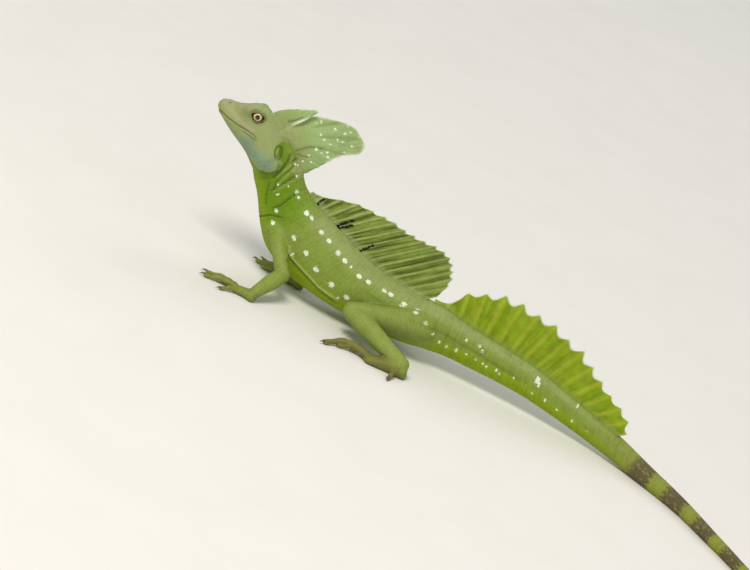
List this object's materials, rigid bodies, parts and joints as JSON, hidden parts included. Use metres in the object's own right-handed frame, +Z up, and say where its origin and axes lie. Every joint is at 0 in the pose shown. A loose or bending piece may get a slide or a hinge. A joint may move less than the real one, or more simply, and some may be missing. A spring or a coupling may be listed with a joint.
{
  "type": "plumed basilisk lizard",
  "caption": "Life-size adult male plumed basilisk, alert on its forelegs, with head crests, a rayed back sail, a tail sail and a long banded tail.",
  "frame": {"origin": "on the floor, under the middle of the model's bounding box", "axes": "+Z up; the snout points to -X and the tail to +X; the lizard's left side faces -Y"},
  "size_m": [0.6938, 0.2098, 0.1309],
  "materials": {
    "skin_green": "green scaly skin, satin, with rows of small white spots",
    "skin_pale": "pale grey-green head skin, satin, with small smooth plates",
    "sail_green": "thin green skin stretched between rays, pale along its edge",
    "tail_green": "green skin in fine rings, turning to olive and dark brown bands",
    "toe_olive": "brownish olive skin of the hands and feet, matt",
    "eye_gold": "wet gold iris with a round black pupil"
  },
  "bodies": {
    "root": {"back_sail": "sail_green", "brow_crest": "skin_pale", "crest": "skin_pale", "eye_left": "eye_gold", "eye_right": "eye_gold", "foot_left": "toe_olive", "foot_right": "toe_olive", "forearm_left": "skin_green", "forearm_right": "skin_green", "hand_left": "toe_olive", "hand_right": "toe_olive", "head": "skin_pale", "jaw": "skin_pale", "neck": "skin_green", "shin_left": "skin_green", "shin_right": "skin_green", "tail_1": "tail_green", "tail_2": "tail_green", "tail_3": "tail_green", "tail_4": "tail_green", "tail_sail": "sail_green", "thigh_left": "skin_green", "thigh_right": "skin_green", "torso": "skin_green", "upper_arm_left": "skin_green", "upper_arm_right": "skin_green"}
  },
  "joints": []
}
